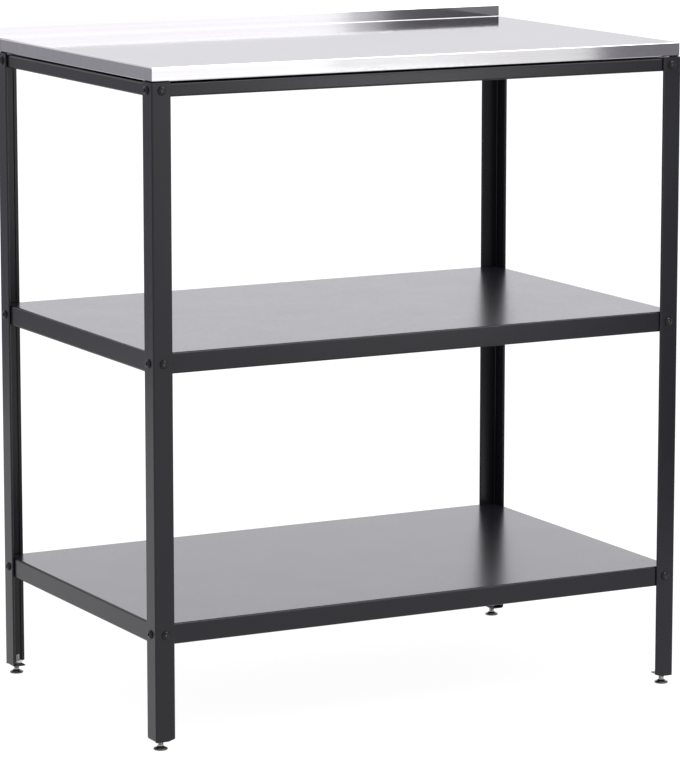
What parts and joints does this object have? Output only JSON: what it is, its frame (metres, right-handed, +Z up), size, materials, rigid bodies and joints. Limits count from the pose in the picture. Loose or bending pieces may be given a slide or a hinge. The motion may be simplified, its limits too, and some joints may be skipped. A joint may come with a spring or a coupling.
{
  "type": "outdoor pizza oven table",
  "caption": "Free-standing tiered steel table with a brushed stainless worktop tray, rear upstand, black folded shelves, angle legs and screw-adjusted feet.",
  "frame": {"origin": "on the floor under the middle of the footprint", "axes": "+X to the right along the front, +Y towards the rear upstand, +Z up; the front faces -Y"},
  "size_m": [0.8066, 0.5066, 0.9165],
  "materials": {
    "brushed_stainless": "long-grain brushed",
    "black_powder_coat": "satin",
    "black_screw": "semi-gloss blackened",
    "zinc_plated": "bright zinc",
    "black_pad": "smooth"
  },
  "bodies": {
    "frame": {"worktop": "brushed_stainless", "worktop_bearers": "black_powder_coat", "bearer_screws": "zinc_plated", "bearer_nuts": "zinc_plated", "top_pan": "black_powder_coat", "middle_shelf": "black_powder_coat", "lower_shelf": "black_powder_coat", "middle_stiffeners": "black_powder_coat", "lower_stiffeners": "black_powder_coat", "foot_nuts": "zinc_plated", "leg_screws_top": "black_screw", "leg_screws_middle": "black_screw", "leg_screws_lower": "black_screw", "insert_nuts_top": "zinc_plated", "insert_nuts_middle": "zinc_plated", "insert_nuts_lower": "zinc_plated", "leg_front_left": "black_powder_coat", "leg_front_right": "black_powder_coat", "leg_rear_left": "black_powder_coat", "leg_rear_right": "black_powder_coat"},
    "pad_front_left": {"pad_front_left": "black_pad"},
    "stud_front_left": {"stud_front_left": "zinc_plated"},
    "pad_front_right": {"pad_front_right": "black_pad"},
    "stud_front_right": {"stud_front_right": "zinc_plated"},
    "pad_rear_left": {"pad_rear_left": "black_pad"},
    "stud_rear_left": {"stud_rear_left": "zinc_plated"},
    "pad_rear_right": {"pad_rear_right": "black_pad"},
    "stud_rear_right": {"stud_rear_right": "zinc_plated"}
  },
  "joints": [
    {"name": "height_front_left", "type": "slide", "parent": "frame", "child": "pad_front_left", "axis": [0, 0, 1], "range_m": [-0.008, 0.004]},
    {"name": "turn_front_left", "type": "hinge", "parent": "pad_front_left", "child": "stud_front_left", "pos_m": [-0.3885, -0.2385, 0.014], "axis": [0, 0, 1], "range_deg": [-2306, 1154]},
    {"name": "height_front_right", "type": "slide", "parent": "frame", "child": "pad_front_right", "axis": [0, 0, 1], "range_m": [-0.008, 0.004]},
    {"name": "turn_front_right", "type": "hinge", "parent": "pad_front_right", "child": "stud_front_right", "pos_m": [0.3885, -0.2385, 0.014], "axis": [0, 0, 1], "range_deg": [-2306, 1154]},
    {"name": "height_rear_left", "type": "slide", "parent": "frame", "child": "pad_rear_left", "axis": [0, 0, 1], "range_m": [-0.008, 0.004]},
    {"name": "turn_rear_left", "type": "hinge", "parent": "pad_rear_left", "child": "stud_rear_left", "pos_m": [-0.3885, 0.2385, 0.014], "axis": [0, 0, 1], "range_deg": [-2306, 1154]},
    {"name": "height_rear_right", "type": "slide", "parent": "frame", "child": "pad_rear_right", "axis": [0, 0, 1], "range_m": [-0.008, 0.004]},
    {"name": "turn_rear_right", "type": "hinge", "parent": "pad_rear_right", "child": "stud_rear_right", "pos_m": [0.3885, 0.2385, 0.014], "axis": [0, 0, 1], "range_deg": [-2306, 1154]}
  ],
  "couplings": [
    {"joint": "turn_front_left", "follows": "height_front_left", "rad_per_m": 5026.5},
    {"joint": "turn_front_right", "follows": "height_front_right", "rad_per_m": 5026.5},
    {"joint": "turn_rear_left", "follows": "height_rear_left", "rad_per_m": 5026.5},
    {"joint": "turn_rear_right", "follows": "height_rear_right", "rad_per_m": 5026.5}
  ]
}
